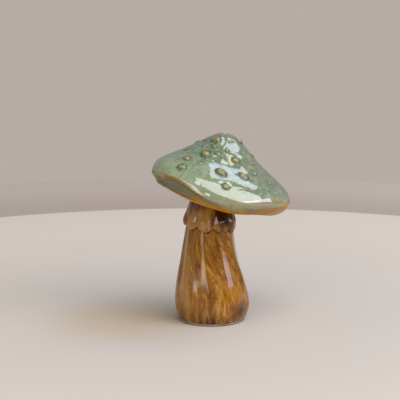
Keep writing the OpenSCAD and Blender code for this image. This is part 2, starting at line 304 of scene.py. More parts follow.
def makeReactiveGreen():
    # sage glaze that breaks to gold where it is thin and darkens to teal where it pools
    look = {
        "sage": (0.212, 0.286, 0.156, 1),
        "paleSage": (0.280, 0.340, 0.197, 1),
        "deepSage": (0.090, 0.150, 0.080, 1),
        "teal": (0.070, 0.158, 0.115, 1),
        "moss": (0.045, 0.080, 0.030, 1),
        "olive": (0.235, 0.190, 0.060, 1),
        "straw": (0.330, 0.300, 0.150, 1),
        "gold": (0.290, 0.195, 0.042, 1),
        "amber": (0.490, 0.220, 0.010, 1),
        "honey": (0.370, 0.195, 0.026, 1),
        "bark": (0.165, 0.165, 0.096, 1),
        "umber": (0.190, 0.080, 0.012, 1),
        "bronze": (0.200, 0.138, 0.022, 1),
        "fawn": (0.290, 0.195, 0.070, 1),
    }
    vectors = [("Place", "NodeSocketVector"), ("Fall", "NodeSocketVector")]
    masks = [(name, "NodeSocketFloat") for name in greenMasks]
    results = [("Color", "NodeSocketColor"), ("Wet", "NodeSocketFloat")]
    tree, start, end = newGroup("reactiveGreen", vectors + masks, results)
    place = start.outputs["Place"]
    fall = start.outputs["Fall"]
    crown = start.outputs["Crown"]
    pool = start.outputs["Pool"]
    ridge = start.outputs["Ridge"]
    lip = start.outputs["Lip"]
    # runs go down the cap, and rings lie round it
    down = put(tree, "ShaderNodeMapping", None, {"Vector": fall, "Scale": (8, 8, 1.6)}).outputs[0]
    along = put(tree, "ShaderNodeMapping", None, {"Vector": fall, "Scale": (2.6, 2.6, 38)}).outputs[0]
    broad = cloud(tree, place, 0.050, 3.0, 0.55)
    drift = cloud(tree, place, 0.20, 4.0, 0.62, 0.6)
    fine = cloud(tree, place, 0.52, 3.0, 0.6, 0.8)
    specks = cloud(tree, place, 1.1, 2.0, 0.6)
    runs = cloud(tree, down, 1.0, 4.0, 0.62)
    rings = cloud(tree, along, 1.0, 4.0, 0.62)
    colour = blendColour(tree, band(tree, broad, 0.38, 0.64), look["sage"], look["paleSage"])
    colour = layOver(tree, colour, look["deepSage"], runs, 0.50, 0.70, 0.55)
    colour = layOver(tree, colour, look["olive"], runs, 0.48, 0.32, 0.50)
    # the crown is mottled with deep green, teal, olive and straw
    for pattern, low, high, most, tone in (
        (drift, 0.56, 0.69, 0.75, "deepSage"),
        (cloud(tree, place, 0.34, 3.0, 0.6, 1.0), 0.54, 0.68, 0.85, "teal"),
        (fine, 0.645, 0.735, 0.85, "olive"),
        (cloud(tree, place, 0.42, 3.0, 0.6, 0.5), 0.70, 0.78, 0.70, "paleSage"),
        (specks, 0.76, 0.82, 0.60, "straw"),
    ):
        share = band(tree, sums(tree, "MULTIPLY_ADD", crown, 0.16, pattern), low, high)
        share = times(tree, share, sums(tree, "MULTIPLY_ADD", crown, 0.6 * most, 0.4 * most))
        colour = blendColour(tree, share, colour, look[tone])
    # teal where the glaze lies deep, and moss where it lies deepest
    deep = sums(tree, "MULTIPLY_ADD", pool, 0.28, fine)
    colour = layOver(tree, colour, look["teal"], deep, 0.60, 0.74, 0.65)
    deepest = sums(tree, "MULTIPLY_ADD", pool, 0.62, fine)
    colour = layOver(tree, colour, look["moss"], deepest, 0.92, 1.10, 0.8)
    # the hollow under the ridge is brown over green: brown streaks, darkened as painted shade under the ridge
    hollow = sums(tree, "MULTIPLY_ADD", rings, 2.0, -0.25, clamp=True)
    hollow = times(tree, start.outputs["Hollow"], hollow)
    colour = blendColour(tree, hollow, colour, look["bark"])
    # thin edges break to gold, and the ridge to bronze
    thin = sums(tree, "MULTIPLY_ADD", fine, 0.4, sums(tree, "MAXIMUM", start.outputs["Thin"], ridge))
    colour = layOver(tree, colour, look["gold"], thin, 0.62, 1.02, 0.92)
    colour = layOver(tree, colour, look["bronze"], ridge, 0.35, 0.80, 0.85)
    # fawn and bark rings above the lip
    for tone, nearLip, ring in (("fawn", (0.05, 0.30), (0.46, 0.56)), ("bark", (0.12, 0.40), (0.47, 0.38))):
        share = times(tree, band(tree, lip, *nearLip), band(tree, rings, *ring))
        colour = blendColour(tree, times(tree, share, 0.70), colour, look[tone])
    # the amber lip below its line, which is at 0.5
    rim = blendColour(tree, band(tree, rings, 0.34, 0.52), look["honey"], look["amber"])
    rim = layOver(tree, rim, look["umber"], rings, 0.60, 0.72, 0.45)
    # umber where the pool mask is high; on the lip's right this is painted shade
    rim = blendColour(tree, times(tree, pool, 0.45), rim, look["umber"])
    belowLine = sums(tree, "MULTIPLY_ADD", rings, 0.20, lip)
    colour = blendColour(tree, band(tree, belowLine, 0.57, 0.63), colour, rim)
    tree.links.new(colour, end.inputs["Color"])
    # the wet coat ends at the lip, the ridge and the hollow
    dry = sums(tree, "MULTIPLY_ADD", ridge, 0.9, start.outputs["Hollow"])
    wet = sums(tree, "SUBTRACT", 1.0, dry, clamp=True)
    tree.links.new(times(tree, band(tree, lip, 0.50, 0.25), wet), end.inputs["Wet"])
    return tree


reactiveGreen = makeReactiveGreen()


def makeBrushedBrown():
    # brown glaze laid on in long brush strokes that run down the stem
    look = {
        "honey": (0.322, 0.134, 0.004, 1),
        "brown": (0.218, 0.078, 0.002, 1),
        "tan": (0.440, 0.246, 0.064, 1),
        "dark": (0.095, 0.028, 0.001, 1),
        "umber": (0.035, 0.008, 0.003, 1),
    }
    tree, start, end = newGroup(
        "brushedBrown",
        [
            ("Flow", "NodeSocketVector"),
            ("Place", "NodeSocketVector"),
            ("Pool", "NodeSocketFloat"),
            ("Thin", "NodeSocketFloat"),
        ],
        [("Color", "NodeSocketColor"), ("Height", "NodeSocketFloat")],
    )
    run = start.outputs["Flow"]
    wide = cloud(tree, run, 2.2, 3.0, 0.6, 0.3)
    stroke = cloud(tree, run, 5.5, 4.0, 0.68, 0.4)
    hair = cloud(tree, run, 17.0, 3.0, 0.6)
    blotch = cloud(tree, start.outputs["Place"], 0.35, 3.0, 0.6, 0.5)
    # Thin and Pool also carry painted light, a painted highlight and painted shade, besides the glaze's own
    # thin and pooled places
    edges = sums(tree, "MULTIPLY_ADD", blotch, 0.4, start.outputs["Thin"])
    deep = sums(tree, "MULTIPLY_ADD", blotch, 0.7, start.outputs["Pool"])
    colour = blendColour(tree, band(tree, wide, 0.40, 0.58), look["brown"], look["honey"])
    for tone, pattern, low, high, most in (
        ("tan", stroke, 0.52, 0.66, 0.75),
        ("dark", stroke, 0.48, 0.34, 0.90),
        ("dark", hair, 0.50, 0.62, 0.42),
        ("tan", hair, 0.44, 0.34, 0.38),
        ("tan", edges, 0.40, 1.0, 0.6),
        ("dark", deep, 0.55, 0.95, 0.75),
        ("umber", deep, 0.95, 1.25, 1.0),
    ):
        colour = layOver(tree, colour, look[tone], pattern, low, high, most)
    height = sums(tree, "MULTIPLY_ADD", stroke, 0.10, times(tree, hair, 0.03))
    tree.links.new(colour, end.inputs["Color"])
    tree.links.new(height, end.inputs["Height"])
    return tree


brushedBrown = makeBrushedBrown()
print("shared surface effects made")


# Materials

def bumpInto(tree, shader, height, strength):
    bump = put(tree, "ShaderNodeBump", None, {"Height": height, "Strength": strength, "Distance": mm})
    tree.links.new(bump.outputs[0], shader.inputs["Normal"])


def glazeFinish(tree, shader, look, height):
    # the gloss, refractive index and relief of a glaze
    shader.inputs["Roughness"].default_value = look["rough"]
    shader.inputs["IOR"].default_value = look["index"]
    bumpInto(tree, shader, height, look["bump"])


def greenGroup(tree, place):
    inputs = {name: mask(tree, name.lower()) for name in greenMasks}
    inputs["Place"] = place
    inputs["Fall"] = flow(tree, "fall")
    return put(tree, "ShaderNodeGroup", {"node_tree": reactiveGreen}, inputs)


def makeGreenGlaze(name, coated):
    look = {
        "seam": (0.060, 0.026, 0.008, 1),
        "seamShare": 0.65,
        "rough": 0.05,
        "mattRough": 0.45,  # added where the glaze is matt
        "index": 1.36,
        "coatIndex": 1.80,
        "coatRough": 0.04,
        "roll": 0.20,
        "pits": 0.03,
        "bump": 0.5,
    }
    material, tree, shader = newMaterial(name)
    place = millimetres(tree)
    green = greenGroup(tree, place)
    # dark on the joint between the castings, and painted shade under the ridge and under the rim's left end
    seam = mask(tree, "seam")
    colour = layOver(tree, green.outputs["Color"], look["seam"], seam, 0.50, 0.95, look["seamShare"])
    tree.links.new(colour, shader.inputs["Base Color"])
    glazeFinish(tree, shader, look, skinOf(tree, place, look["roll"], look["pits"]))
    matt = mask(tree, "matt")
    rough = sums(tree, "MULTIPLY_ADD", matt, look["mattRough"], look["rough"])
    tree.links.new(rough, shader.inputs["Roughness"])
    if coated:
        shine = sums(tree, "SUBTRACT", green.outputs["Wet"], matt, clamp=True)
        tree.links.new(shine, shader.inputs["Coat Weight"])
        shader.inputs["Coat IOR"].default_value = look["coatIndex"]
        shader.inputs["Coat Roughness"].default_value = look["coatRough"]
    return material


def makeWartGlaze(name):
    # gold on the crest of each wart, running into the green round it
    look = {
        "gold": (0.340, 0.245, 0.065, 1),
        "olive": (0.185, 0.155, 0.050, 1),
        "bright": (0.500, 0.390, 0.170, 1),
        "rough": 0.11,
        "index": 1.52,
        "roll": 0.10,
        "pits": 0.02,
        "bump": 0.3,
    }
    material, tree, shader = newMaterial(name)
    place = millimetres(tree)
    green = greenGroup(tree, place).outputs["Color"]
    mottle = cloud(tree, place, 0.55, 3.0, 0.6, 0.6)
    top = blendColour(tree, band(tree, mottle, 0.42, 0.60), look["olive"], look["gold"])
    top = blendColour(tree, band(tree, mottle, 0.58, 0.72), top, look["bright"])
    crest = sums(tree, "MULTIPLY_ADD", mottle, 0.45, mask(tree, "crest"))
    colour = blendColour(tree, band(tree, crest, 0.42, 0.86), green, top)
    tree.links.new(colour, shader.inputs["Base Color"])
    glazeFinish(tree, shader, look, skinOf(tree, place, look["roll"], look["pits"]))
    return material


def makeBrownGlaze(name):
    look = {"rough": 0.11, "index": 1.50, "roll": 0.10, "pits": 0.02, "bump": 0.45}
    material, tree, shader = newMaterial(name)
    place = millimetres(tree)
    inputs = {"Pool": mask(tree, "pool"), "Thin": mask(tree, "thin")}
    inputs.update({"Flow": flow(tree, "flow"), "Place": place})
    brush = put(tree, "ShaderNodeGroup", {"node_tree": brushedBrown}, inputs)
    tree.links.new(brush.outputs["Color"], shader.inputs["Base Color"])
    skin = skinOf(tree, place, look["roll"], look["pits"])
    glazeFinish(tree, shader, look, sums(tree, "ADD", brush.outputs["Height"], skin))
    return material


def makeBareClay(name, glazedFrom=None):
    look = {
        "cream": (0.420, 0.300, 0.170, 1),
        "toast": (0.240, 0.150, 0.075, 1),
        "speck": (0.100, 0.060, 0.030, 1),
        "paintedContactShadow": (0.050, 0.030, 0.016, 1),  # painted contact shadow in the gap between the foot's edge and the table
        "contactShadowHeights": (0.62, 0.45),
        "contactShadowReach": (1.3, 0.8),  # in from the edge
        "run": (0.130, 0.048, 0.004, 1),  # glaze that ran down over the top of the foot
        "runHeights": (1.1, 1.4),  # over the height that it's glazed from
        "rough": 0.62,
        "grain": 0.08,
    }
    material, tree, shader = newMaterial(name)
    place = millimetres(tree)
    toast = cloud(tree, place, 0.12, 3.0, 0.6)
    grain = cloud(tree, place, 2.4, 3.0, 0.6)
    colour = blendColour(tree, band(tree, toast, 0.40, 0.70), look["cream"], look["toast"])
    colour = blendColour(tree, band(tree, grain, 0.66, 0.76), colour, look["speck"])
    if glazedFrom:
        height = put(tree, "ShaderNodeSeparateXYZ", None, {0: place}).outputs[2]
        level = {0: place, 1: (1, 1, 0)}
        out = put(tree, "ShaderNodeVectorMath", {"operation": "MULTIPLY"}, level).outputs[0]
        out = put(tree, "ShaderNodeVectorMath", {"operation": "LENGTH"}, {0: out}).outputs["Value"]
        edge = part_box("base_disc")[1].x / mm
        # painted contact shadow low on the foot's edge, where it meets the table
        near = band(tree, out, *(edge - reach for reach in look["contactShadowReach"]))
        colour = layOver(tree, colour, look["paintedContactShadow"], height, *look["contactShadowHeights"], near)
        uneven = sums(tree, "MULTIPLY_ADD", toast, 1.6, height)
        run = band(tree, uneven, *(glazedFrom + level for level in look["runHeights"]))
        colour = blendColour(tree, run, colour, look["run"])
    tree.links.new(colour, shader.inputs["Base Color"])
    rough = sums(tree, "MULTIPLY_ADD", grain, 0.2, look["rough"])
    tree.links.new(rough, shader.inputs["Roughness"])
    bumpInto(tree, shader, times(tree, grain, look["grain"]), 0.8)
    return material


greenGlaze = makeGreenGlaze("greenGlaze", coated=True)
amberGlaze = makeGreenGlaze("amberGlaze", coated=False)
wartGlaze = makeWartGlaze("wartGlaze")
brownGlaze = makeBrownGlaze("brownGlaze")
bareClay = makeBareClay("bareClay")
footClay = makeBareClay("footClay", glazedFrom=1.0)
print("glazes and clay made")


# Cap

capLook = {
    "levels": 2,
    "rippleDepth": 0.20,  # mm, slow unevenness of the hand-finished casting
    "rippleSize": 11.0,
    "dimpleDepth": 0.06,
    "dimpleSize": 4.5,
    "wellDepth": 0.10,  # hollow round each wart
    "wellReach": 2.3,
    "ridgeHeight": 0.50,
    "ridgeWidth": 0.8,
    "ridgeBearings": (198, 252),
    "ridgeStart": (192, 206),  # bearings over which the crest comes up
    "cutDepth": 0.32,  # the hollow drawn in under the ridge
    "cutBearings": (216, 250),
    "cutBelow": 2.8,
    "cutWidth": 1.7,
    "seamDepth": 0.08,
    "seamWidth": 0.55,
    "seamBearings": (206, 246),
    "jointReach": 0.25,  # mm between the castings where they are luted
    "outsideFrom": 42,  # mm from the axis, as is the next
    "seamFrom": 38,
}

# Where the glaze changes on the cap. Heights are over the rim or over a line of it, in mm
capPaint = {
    "crownTop": 8.0,  # where the mottling starts
    "crownReach": 16,
    "crownDrift": 0.35,
    "rightCrown": {"bearings": (286, 400), "heights": (3, 9), "share": 0.65},
    "driftSize": 9,
    "speckSize": 2.2,
    "tipHeights": (31.5, 37),
    "aboveRidge": {"height": 2.0, "width": 2.0, "share": 0.55},
    "aboveLip": {"bearings": (304, 330), "height": 3.8, "width": 1.8, "share": 0.75},
    # painted shade on the lip's right, carried by the pool mask
    "rightLipShade": {"bearings": (300, 350), "reach": 2, "share": 0.8},
    "lipReach": 6,
    "runLength": 60,
    "ridge": {"middle": -0.3, "width": 1.4, "wider": 0.8, "bearings": (212, 235)},
    # the brown hollow under the ridge is partly painted shade
    "hollow": {"bearings": (176, 262), "heights": (-0.3, -1.6)},
    "hollowFoot": -7,
    # painted shade: a dark line under the ridge's crest, and the underside of the rim's left end darkened
    "darkLine": {"height": -2.0, "width": 0.6, "share": 0.92},
    "darkEnd": {"bearings": (168, 198), "heights": (-0.2, -1.0), "share": 0.85},
    "matt": {"bearings": (176, 208), "heights": (3.2, 1.4)},
}

# Lines round the cap: bearing from the cap's own right over its back, and height over the rim in mm
ridgeLine = {
    189: -3.6, 199: -2.1, 206: -1.1, 213: 1.0, 220: 3.0, 227: 4.4,
    233: 4.0, 238: 3.3, 243: 2.0, 252: -0.7, 259: -1.6,
}
amberLine = {
    0: 2.0, 40: -1.0, 90: -3.0, 150: -4.5, 195: -5.6, 215: -5.5, 235: -5.6, 248: -5.1, 260: -5.6, 272: -6.0,
    283: -5.4, 295: -3.9, 307: -2.6, 317: -1.6, 327: -0.4, 337: 1.4, 349: 2.4,
}
# How far over the amber line the rings of fawn and bark fade out, in mm
ringReach = {0: 5, 150: 6, 195: 3, 240: 3, 262: 8, 290: 12, 315: 9, 340: 8}

# Rings left by the hand at one distance from the cap's axis: that distance, width, rise, and bearings
handRings = [(25.8, 2.3, 0.26, (232, 256)), (18.5, 4.5, 0.55, (252, 333)), (28.0, 4.5, -0.55, (252, 333))]
# The brim is drawn in along the front: height over the rim, width, depth and bearings
brimHollow = {"height": 5.0, "width": 3.2, "depth": 0.24, "bearings": (250, 300)}
# A thumb print on the crown: bearing and height of its middle, its plane's normal, reach and share
crownPrint = {
    "at": (276, 29.8),
    "from": 20,  # mm over the rim, below which nothing is pressed
    "far": 15,  # the cap's radius there
    "normal": (0.326, -0.556, 0.765),
    "reach": 4.8,
    "edge": (0.75, 1.35),
    "share": 0.95,
}


def capPolar(points):
    # bearing, distance from the axis and height of each point in the cap's own frame
    local = (points / mm - np.array(capPlace["middle"])) @ np.array(capTurn)
    bearing = np.degrees(np.arctan2(local[:, 1], local[:, 0])) % 360
    return bearing, np.hypot(local[:, 0], local[:, 1]), local[:, 2]


def capRipple(point):
    slow = noise.noise(point / (capLook["rippleSize"] * mm)) * capLook["rippleDepth"]
    quick = noise.noise(point / (capLook["dimpleSize"] * mm) + Vector((7, 3, 1))) * capLook["dimpleDepth"]
    return slow + quick


def pelletPlaces():
    # middle, long axis and half lengths of each pellet, from its node
    places = {}
    for name in sorted(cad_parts):
        if name.startswith("pellet_"):
            points = readPoints(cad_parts[name].data)
            middle = points.mean(0)
            axes = np.linalg.svd(points - middle, full_matrices=False)[2]
            reach = np.abs((points - middle) @ axes.T).max(0)
            places[name] = (Vector(middle), Vector(axes[0]), reach[0], reach[1])
    return places


pellets = pelletPlaces()


def wellDepths(points):
    # 1 at the foot of a wart and 0 from its reach on
    depths = np.zeros(len(points))
    for middle, _, longHalf, _ in pellets.values():
        far = np.linalg.norm(points - np.array(middle), axis=1)
        depths = np.maximum(depths, 1 - easeStep(longHalf, capLook["wellReach"] * longHalf, far))
    return depths


def ridgeGap(bearing, height):
    # height over the ridge's line, and 1 on the bearings where the ridge stands out
    reach = between(bearing, *capLook["ridgeBearings"], 10)
    return height - around(ridgeLine, bearing), reach


def lutedJoint(shellCage, undersideCage):
    # the castings are luted shut, so the underside's edge moves onto the shell's. This gives the
    # bearings and heights of that joint round the outside
    shellPoints = [v.co.copy() for v in shellCage.verts]
    joint = []
    for vertex in undersideCage.verts:
        near = min(shellPoints, key=lambda p: (p - vertex.co).length_squared)
        if (near - vertex.co).length < capLook["jointReach"] * mm:
            vertex.co = near
            joint.append(near)
    bearing, far, height = capPolar(np.array(joint))
    outside = far > capLook["outsideFrom"]
    order = np.argsort(bearing[outside])
    return bearing[outside][order], height[outside][order]


shellCage = nodeCage("cap_shell")
undersideCage = nodeCage("cap_underside")
seamBearings, seamHeights = lutedJoint(shellCage, undersideCage)


def seamPull(bearing, far, height):
    # 1 on the joint between the castings where it shows, and 0 away from it
    near = hump(height, np.interp(bearing, seamBearings, seamHeights, period=360), capLook["seamWidth"])
    shows = between(bearing, *capLook["seamBearings"], 10)
    return near * shows * (far > capLook["seamFrom"])


def noiseAt(points, size):
    return np.array([noise.noise(Vector(p) / (size * mm)) for p in points])


def capMasks(mesh, pools):
    points = readPoints(mesh)
    bearing, far, height = capPolar(points)
    drift = noiseAt(points, capPaint["driftSize"])
    speck = noiseAt(points, capPaint["speckSize"])
    gap, reach = ridgeGap(bearing, height)
    line = around(amberLine, bearing)
    bulge = bulgeMask(mesh, 2)

    # the glaze is thin on edges, at the tip of the crown, and above the ridge and the lip's right
    tip = easeStep(*capPaint["tipHeights"], height + 4 * drift + 2 * speck)
    thin = bulge * 2.0 + (0.45 + 0.6 * drift + 0.7 * speck) * tip
    edge = capPaint["aboveRidge"]
    thin += edge["share"] * reach * hump(gap, edge["height"], edge["width"])
    edge = capPaint["aboveLip"]
    onLip = between(bearing, *edge["bearings"], 9)
    thin += edge["share"] * onLip * hump(height, edge["height"], edge["width"])
    writeMask(mesh, "thin", np.clip(thin, 0, 1))

    # it pools round the warts and in hollows; on the lip's right the pool mask is painted shade
    lip = capPaint["rightLipShade"]
    rightLipShade = between(bearing, *lip["bearings"], 15) * (1 - easeStep(line, line + lip["reach"], height))
    writeMask(mesh, "pool", np.clip(pools + np.clip(-bulge * 2, 0, 0.4) + lip["share"] * rightLipShade, 0, 1))

    # the mottling of the crown comes lower down on the cap's right
    right = capPaint["rightCrown"]
    crown = (height - capPaint["crownTop"]) / capPaint["crownReach"] + capPaint["crownDrift"] * drift
    crown += right["share"] * between(bearing, *right["bearings"], 18) * easeStep(*right["heights"], height)
    writeMask(mesh, "crown", np.clip(crown, 0, 1))

    # 0.5 on the amber line
    span = np.where(height > line, around(ringReach, bearing), capPaint["lipReach"])
    writeMask(mesh, "lip", np.clip(0.5 + 0.5 * (line - height) / span, 0, 1))

    # the ridge, widest at its left; under it the brown hollow, partly painted shade, and a dark line of
    # painted shade; and painted shade under the rim's left end
    ridge = capPaint["ridge"]
    width = ridge["width"] + ridge["wider"] * (1 - easeStep(*ridge["bearings"], bearing))
    writeMask(mesh, "ridge", reach * hump(gap, ridge["middle"], width))
    hollow = capPaint["hollow"]
    below = easeStep(*hollow["heights"], gap) * (height > capPaint["hollowFoot"])
    writeMask(mesh, "hollow", between(bearing, *hollow["bearings"], 12) * below)
    dark = capPaint["darkLine"]
    seam = dark["share"] * reach * hump(gap, dark["height"], dark["width"])
    dark = capPaint["darkEnd"]
    end = dark["share"] * between(bearing, *dark["bearings"], 8) * easeStep(*dark["heights"], gap)
    writeMask(mesh, "seam", np.maximum(np.maximum(seamPull(bearing, far, height), seam), end))

    # the glaze is matt under the left end of the rim
    matt = capPaint["matt"]
    low = easeStep(*matt["heights"], height) * (height > capPaint["hollowFoot"])
    writeMask(mesh, "matt", between(bearing, *matt["bearings"], 8) * low)

    turn = np.radians(bearing)
    writeFlow(mesh, "fall", np.stack([np.cos(turn), np.sin(turn), (far - height) / capPaint["runLength"]], 1))


def pressPlane(points, bearing, height):
    # how much of the ripple the thumb print takes away, and how far it moves each point, in millimetres
    offBearing = np.radians(bearing - crownPrint["at"][0]) * crownPrint["far"]
    nearest = np.argmin(offBearing**2 + (height - crownPrint["at"][1]) ** 2)
    normal = np.array(crownPrint["normal"])
    away = (points - points[nearest]) / mm
    above = away @ normal
    flat = np.linalg.norm(away - above[:, None] * normal, axis=1)
    inner, outer = (share * crownPrint["reach"] for share in crownPrint["edge"])
    smoothed = (1 - easeStep(inner, outer, flat)) * (height > crownPrint["from"])
    return smoothed, -crownPrint["share"] * smoothed * above


def sculptCap(mesh):
    points, normals = readPoints(mesh), readNormals(mesh)
    bearing, far, height = capPolar(points)
    smoothed, press = (0, 0)
    if height.max() > crownPrint["from"]:
        smoothed, press = pressPlane(points, bearing, height)
    rise = np.array([capRipple(Vector(p)) for p in points])
    pools = wellDepths(points)
    gap, reach = ridgeGap(bearing, height)
    rise -= pools * capLook["wellDepth"]
    crest = reach * easeStep(*capLook["ridgeStart"], bearing) * hump(gap, 0, capLook["ridgeWidth"])
    rise += capLook["ridgeHeight"] * crest
    cutReach = between(bearing, *capLook["cutBearings"], 12)
    rise -= cutReach * capLook["cutDepth"] * hump(gap, -capLook["cutBelow"], capLook["cutWidth"])
    rise -= capLook["seamDepth"] * seamPull(bearing, far, height)
    for middle, width, amount, bearings in handRings:
        rise += amount * hump(far, middle, width) * between(bearing, *bearings, 8) * (height > 0)
    brim = hump(height, brimHollow["height"], brimHollow["width"])
    rise -= brimHollow["depth"] * brim * between(bearing, *brimHollow["bearings"], 5)
    rise = rise * (1 - smoothed) + press
    writePoints(mesh, points + normals * rise[:, None] * mm)
    return pools


shellMesh = smoothMesh(shellCage, "capShell", capLook["levels"])
capMasks(shellMesh, sculptCap(shellMesh))
finishPiece(shellMesh, "capShell", ["cap_shell"], greenGlaze)
undersideMesh = smoothMesh(undersideCage, "capUnderside", capLook["levels"])
capMasks(undersideMesh, sculptCap(undersideMesh))
finishPiece(undersideMesh, "capUnderside", ["cap_underside"], amberGlaze)
print("cap done:", len(shellMesh.polygons), "and", len(undersideMesh.polygons), "faces")


# Warts: pressed-on pellets under the glaze, each with a soft fillet that runs out on the cap

wartLook = {
    "around": 28,
    "rings": 22,
    "reach": 1.75,  # how far the fillet runs, in pellet radii
    "rise": 1.666,  # mm, of a wart as large as the largest or larger
    "largest": 3.3,
    "growth": 0.9,
    "shoulder": 0.90,  # where the top falls off to the fillet, in pellet radii
    "steepness": 7,
    "slump": 0.30,
    "sink": 0.08,  # mm that the fillet's edge dips under the glaze
    "sinkFrom": 1.25,
    "under": 0.45,
    "uneven": 0.20,
    "lumps": 1.3,
}


def capSurface(mesh):
    mesh.calc_loop_triangles()
    points = [v.co.copy() for v in mesh.vertices]
    normals = [Vector(n.vector) for n in mesh.vertex_normals]
    triangles = [tuple(t.vertices) for t in mesh.loop_triangles]
    return BVHTree.FromPolygons(points, triangles), points, normals, triangles


skinTree, skinPoints, skinNormals, skinTriangles = capSurface(shellMesh)


def ontoCap(point):
    # nearest place on the smooth-shaded cap, and its normal
    found, _, index, _ = skinTree.find_nearest(point)
    corners = skinTriangles[index]
    a, b, c = (skinPoints[k] for k in corners)
    whole = (b - a).cross(c - a)
    size = max(whole.length_squared, 1e-18)
    shares = [
        (b - found).cross(c - found).dot(whole) / size,
        (c - found).cross(a - found).dot(whole) / size,
        (a - found).cross(b - found).dot(whole) / size,
    ]
    normal = Vector()
    lifted = Vector()
    for share, k in zip(shares, corners):
        normal += skinNormals[k] * share
        lifted += (found - skinNormals[k] * (found - skinPoints[k]).dot(skinNormals[k])) * share
    return found.lerp(lifted, 0.5), normal.normalized()


def wartHeight(share, bearing, seed):
    ring = Vector((math.cos(bearing), math.sin(bearing), seed)) * wartLook["lumps"]
    shoulder = wartLook["shoulder"] * (1 + wartLook["uneven"] * noise.noise(ring))
    edge = 1 / (1 + math.exp((share - shoulder) * wartLook["steepness"]))
    return edge * (1 - wartLook["slump"] * share * share)


def glazedWart(name, place, seed):
    middle, longAxis, longHalf, shortHalf = place
    seat, normal = ontoCap(middle)
    along = (longAxis - normal * longAxis.dot(normal)).normalized()
    across = normal.cross(along)
    size = min(1.0, longHalf / (wartLook["largest"] * mm))
    rise = wartLook["rise"] * mm * size ** wartLook["growth"]
    ball = bmesh.new()
    bmesh.ops.create_uvsphere(ball, u_segments=wartLook["around"], v_segments=wartLook["rings"], radius=1)
    crest = []
    for vertex in ball.verts:
        tilt = math.acos(max(-1, min(1, vertex.co.z))) / math.pi
        bearing = math.atan2(vertex.co.y, vertex.co.x)
        upper = tilt <= 0.5
        share = (tilt if upper else 1 - tilt) * 2 * wartLook["reach"]
        out = along * (longHalf * share * math.cos(bearing))
        ground, up = ontoCap(seat + out + across * (shortHalf * share * math.sin(bearing)))
        if upper:
            lift = wartHeight(share, bearing, seed)
            dip = easeStep(wartLook["sinkFrom"], wartLook["reach"], share) * wartLook["sink"] * mm
            vertex.co = ground + up * (rise * lift - dip)
            crest.append(lift)
        else:
            vertex.co = ground - up * wartLook["under"] * mm
            crest.append(0.0)
    bmesh.ops.recalc_face_normals(ball, faces=ball.faces)
    mesh = asMesh(ball, name)
    writeMask(mesh, "crest", crest)
    capMasks(mesh, wellDepths(readPoints(mesh)))
    return mesh


for count, (nodeName, place) in enumerate(pellets.items()):
    wartName = "wart" + nodeName[-2:]
    wartMesh = glazedWart(wartName, place, count)
    finishPiece(wartMesh, wartName, [nodeName], wartGlaze, sharpAngle=80)
print("warts done:", len(pellets))


# Stem and skirt, which share the brush strokes of one brown glaze

stemLook = {
    "levels": 2,
    "bow": -2.0,  # mm that the stem's middle bows out between its foot and its neck
    "bowHeight": 101.2,
    "front": 272,
    "frontReach": (15, 75),  # degrees to each side over which the strokes turn less
    "sideShare": 0.25,
    "twist": 46.0,  # degrees that the strokes turn in front, between these heights
    "twistHeights": (20.0, 68.0),
    "strokeLength": 95,
    "strokeSize": 4.0,
    "strokeDepth": 0.06,  # mm, relief left by the brush
    "skirtDepth": 0.08,
}


def stemPolar(points):
    # bearing round the stem's own bowed middle, and height
    x, y, z = (points / mm).T
    lean = stemLook["bow"] * np.sin(np.pi * z / stemLook["bowHeight"]) ** 2
    return np.degrees(np.arctan2(y, x - lean)) % 360, z


def stemFlow(points):
    # a place that follows the strokes: round the stem, and slowly up it
    bearing, height = stemPolar(points)
    off = np.abs((bearing - stemLook["front"] + 540) % 360 - 180)
    frontShare = 1 - easeStep(*stemLook["frontReach"], off)
    share = stemLook["sideShare"] + (1 - stemLook["sideShare"]) * frontShare
    twist = stemLook["twist"] * share * easeStep(*stemLook["twistHeights"], height)
    turn = np.radians(bearing + twist)
    return np.stack([np.cos(turn), np.sin(turn), height / stemLook["strokeLength"]], 1)


def pooled(points, places):
    bearing, height = stemPolar(points)
    total = np.zeros(len(points))
    for middle, level, wide, tall, amount in places:
        off = (bearing - middle + 540) % 360 - 180
        total += amount * hump(off, 0, wide) * hump(height, level, tall)
    return total


def sculptStrokes(mesh, depth, fineness):
    points, normals = readPoints(mesh), readNormals(mesh)
    runs = stemFlow(points)
    rise = np.array([noise.noise(Vector(run) * stemLook["strokeSize"]) for run in runs]) * depth
    writePoints(mesh, points + normals * rise[:, None] * mm)
    writeFlow(mesh, "flow", runs * fineness)


# Skirt: each lobe puffed out like a petal, with a soft web between it and the next

skirtLook = {
    "sharpAngle": 60,
    "lobes": 9,
    "phase": 258.0,
    "puff": 1.15,
    "web": 0.20,
    "puffHeight": 70.5,
    "puffReach": 4.8,
    "puffEdge": (0.25, 0.95),
    "unevenPuff": {258: 1.9, 218: 1.0, 298: 0.55, 338: 0.9, 18: 1.1, 58: 0.8, 98: 1.2, 138: 0.9, 178: 1.0},
    "neckFrom": 77,  # height from which the skirt darkens towards the cap, as pooled glaze and painted shade under the cap
    "neckReach": 7,
    "neckShare": 0.8,
}
# Places where the glaze ran together, with painted shade as they lie under the cap, and where it lies
# thin and pale, the one at bearing 256 a painted highlight on the front lobe: bearing and height, reach
# of each in degrees and mm, and amount
skirtPoolsAndShade = [(297, 76, 17, 6, 1.6), (312, 72, 10, 4, 1.0), (236, 80, 12, 4, 0.35), (334, 76, 8, 4, 0.8)]
skirtThinsAndHighlight = [(228, 70, 26, 8, 0.95), (256, 72, 16, 5, 0.95)]


